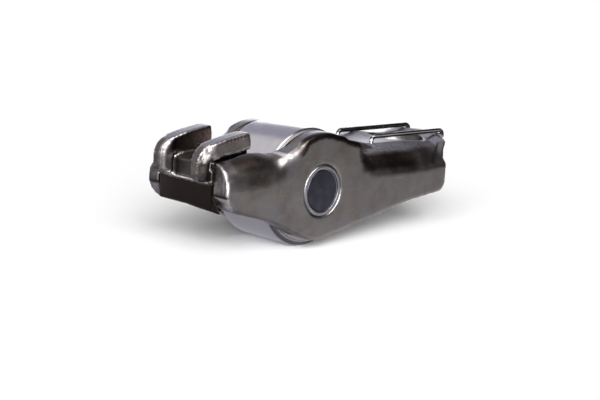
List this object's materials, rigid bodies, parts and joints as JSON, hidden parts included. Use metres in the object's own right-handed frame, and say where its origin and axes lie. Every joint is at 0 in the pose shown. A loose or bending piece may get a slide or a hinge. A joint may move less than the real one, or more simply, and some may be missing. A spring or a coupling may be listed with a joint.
{
  "type": "roller rocker arm",
  "caption": "Pressed-steel roller finger follower: channel body with valve pad between guide lugs, needle-bearing cam roller on a fixed axle, and ball socket with wire retaining clip.",
  "frame": {"origin": "centre of the cam roller, on its axis and at mid width", "axes": "+X along the lever to the pivot socket, -X to the valve pad, +Y along the roller axis, +Z out of the side that faces the valve stem and the pivot ball"},
  "size_m": [0.0537, 0.0166, 0.0174],
  "materials": {
    "pressed_sheet": "case-hardened sheet, tumbled smooth",
    "axle_steel": "hardened, dark ground end",
    "ring_steel": "ground bearing steel",
    "needle_steel": "polished bearing steel",
    "clip_wire": "blackened spring wire"
  },
  "bodies": {
    "lever": {"lever_body": "pressed_sheet", "axle": "axle_steel", "retaining_clip": "clip_wire"},
    "roller": {"roller_ring": "ring_steel"},
    "needle_set": {"needle_01": "needle_steel", "needle_02": "needle_steel", "needle_03": "needle_steel", "needle_04": "needle_steel", "needle_05": "needle_steel", "needle_06": "needle_steel", "needle_07": "needle_steel", "needle_08": "needle_steel", "needle_09": "needle_steel", "needle_10": "needle_steel", "needle_11": "needle_steel", "needle_12": "needle_steel", "needle_13": "needle_steel", "needle_14": "needle_steel", "needle_15": "needle_steel", "needle_16": "needle_steel"}
  },
  "joints": [
    {"name": "roller_spin", "type": "hinge", "parent": "lever", "child": "roller", "pos_m": [0, 0, 0], "axis": [0, 1, 0], "continuous": true},
    {"name": "needle_orbit", "type": "hinge", "parent": "lever", "child": "needle_set", "pos_m": [0, 0, 0], "axis": [0, 1, 0], "continuous": true}
  ],
  "couplings": [
    {"joint": "needle_orbit", "follows": "roller_spin", "ratio": 0.59808}
  ]
}
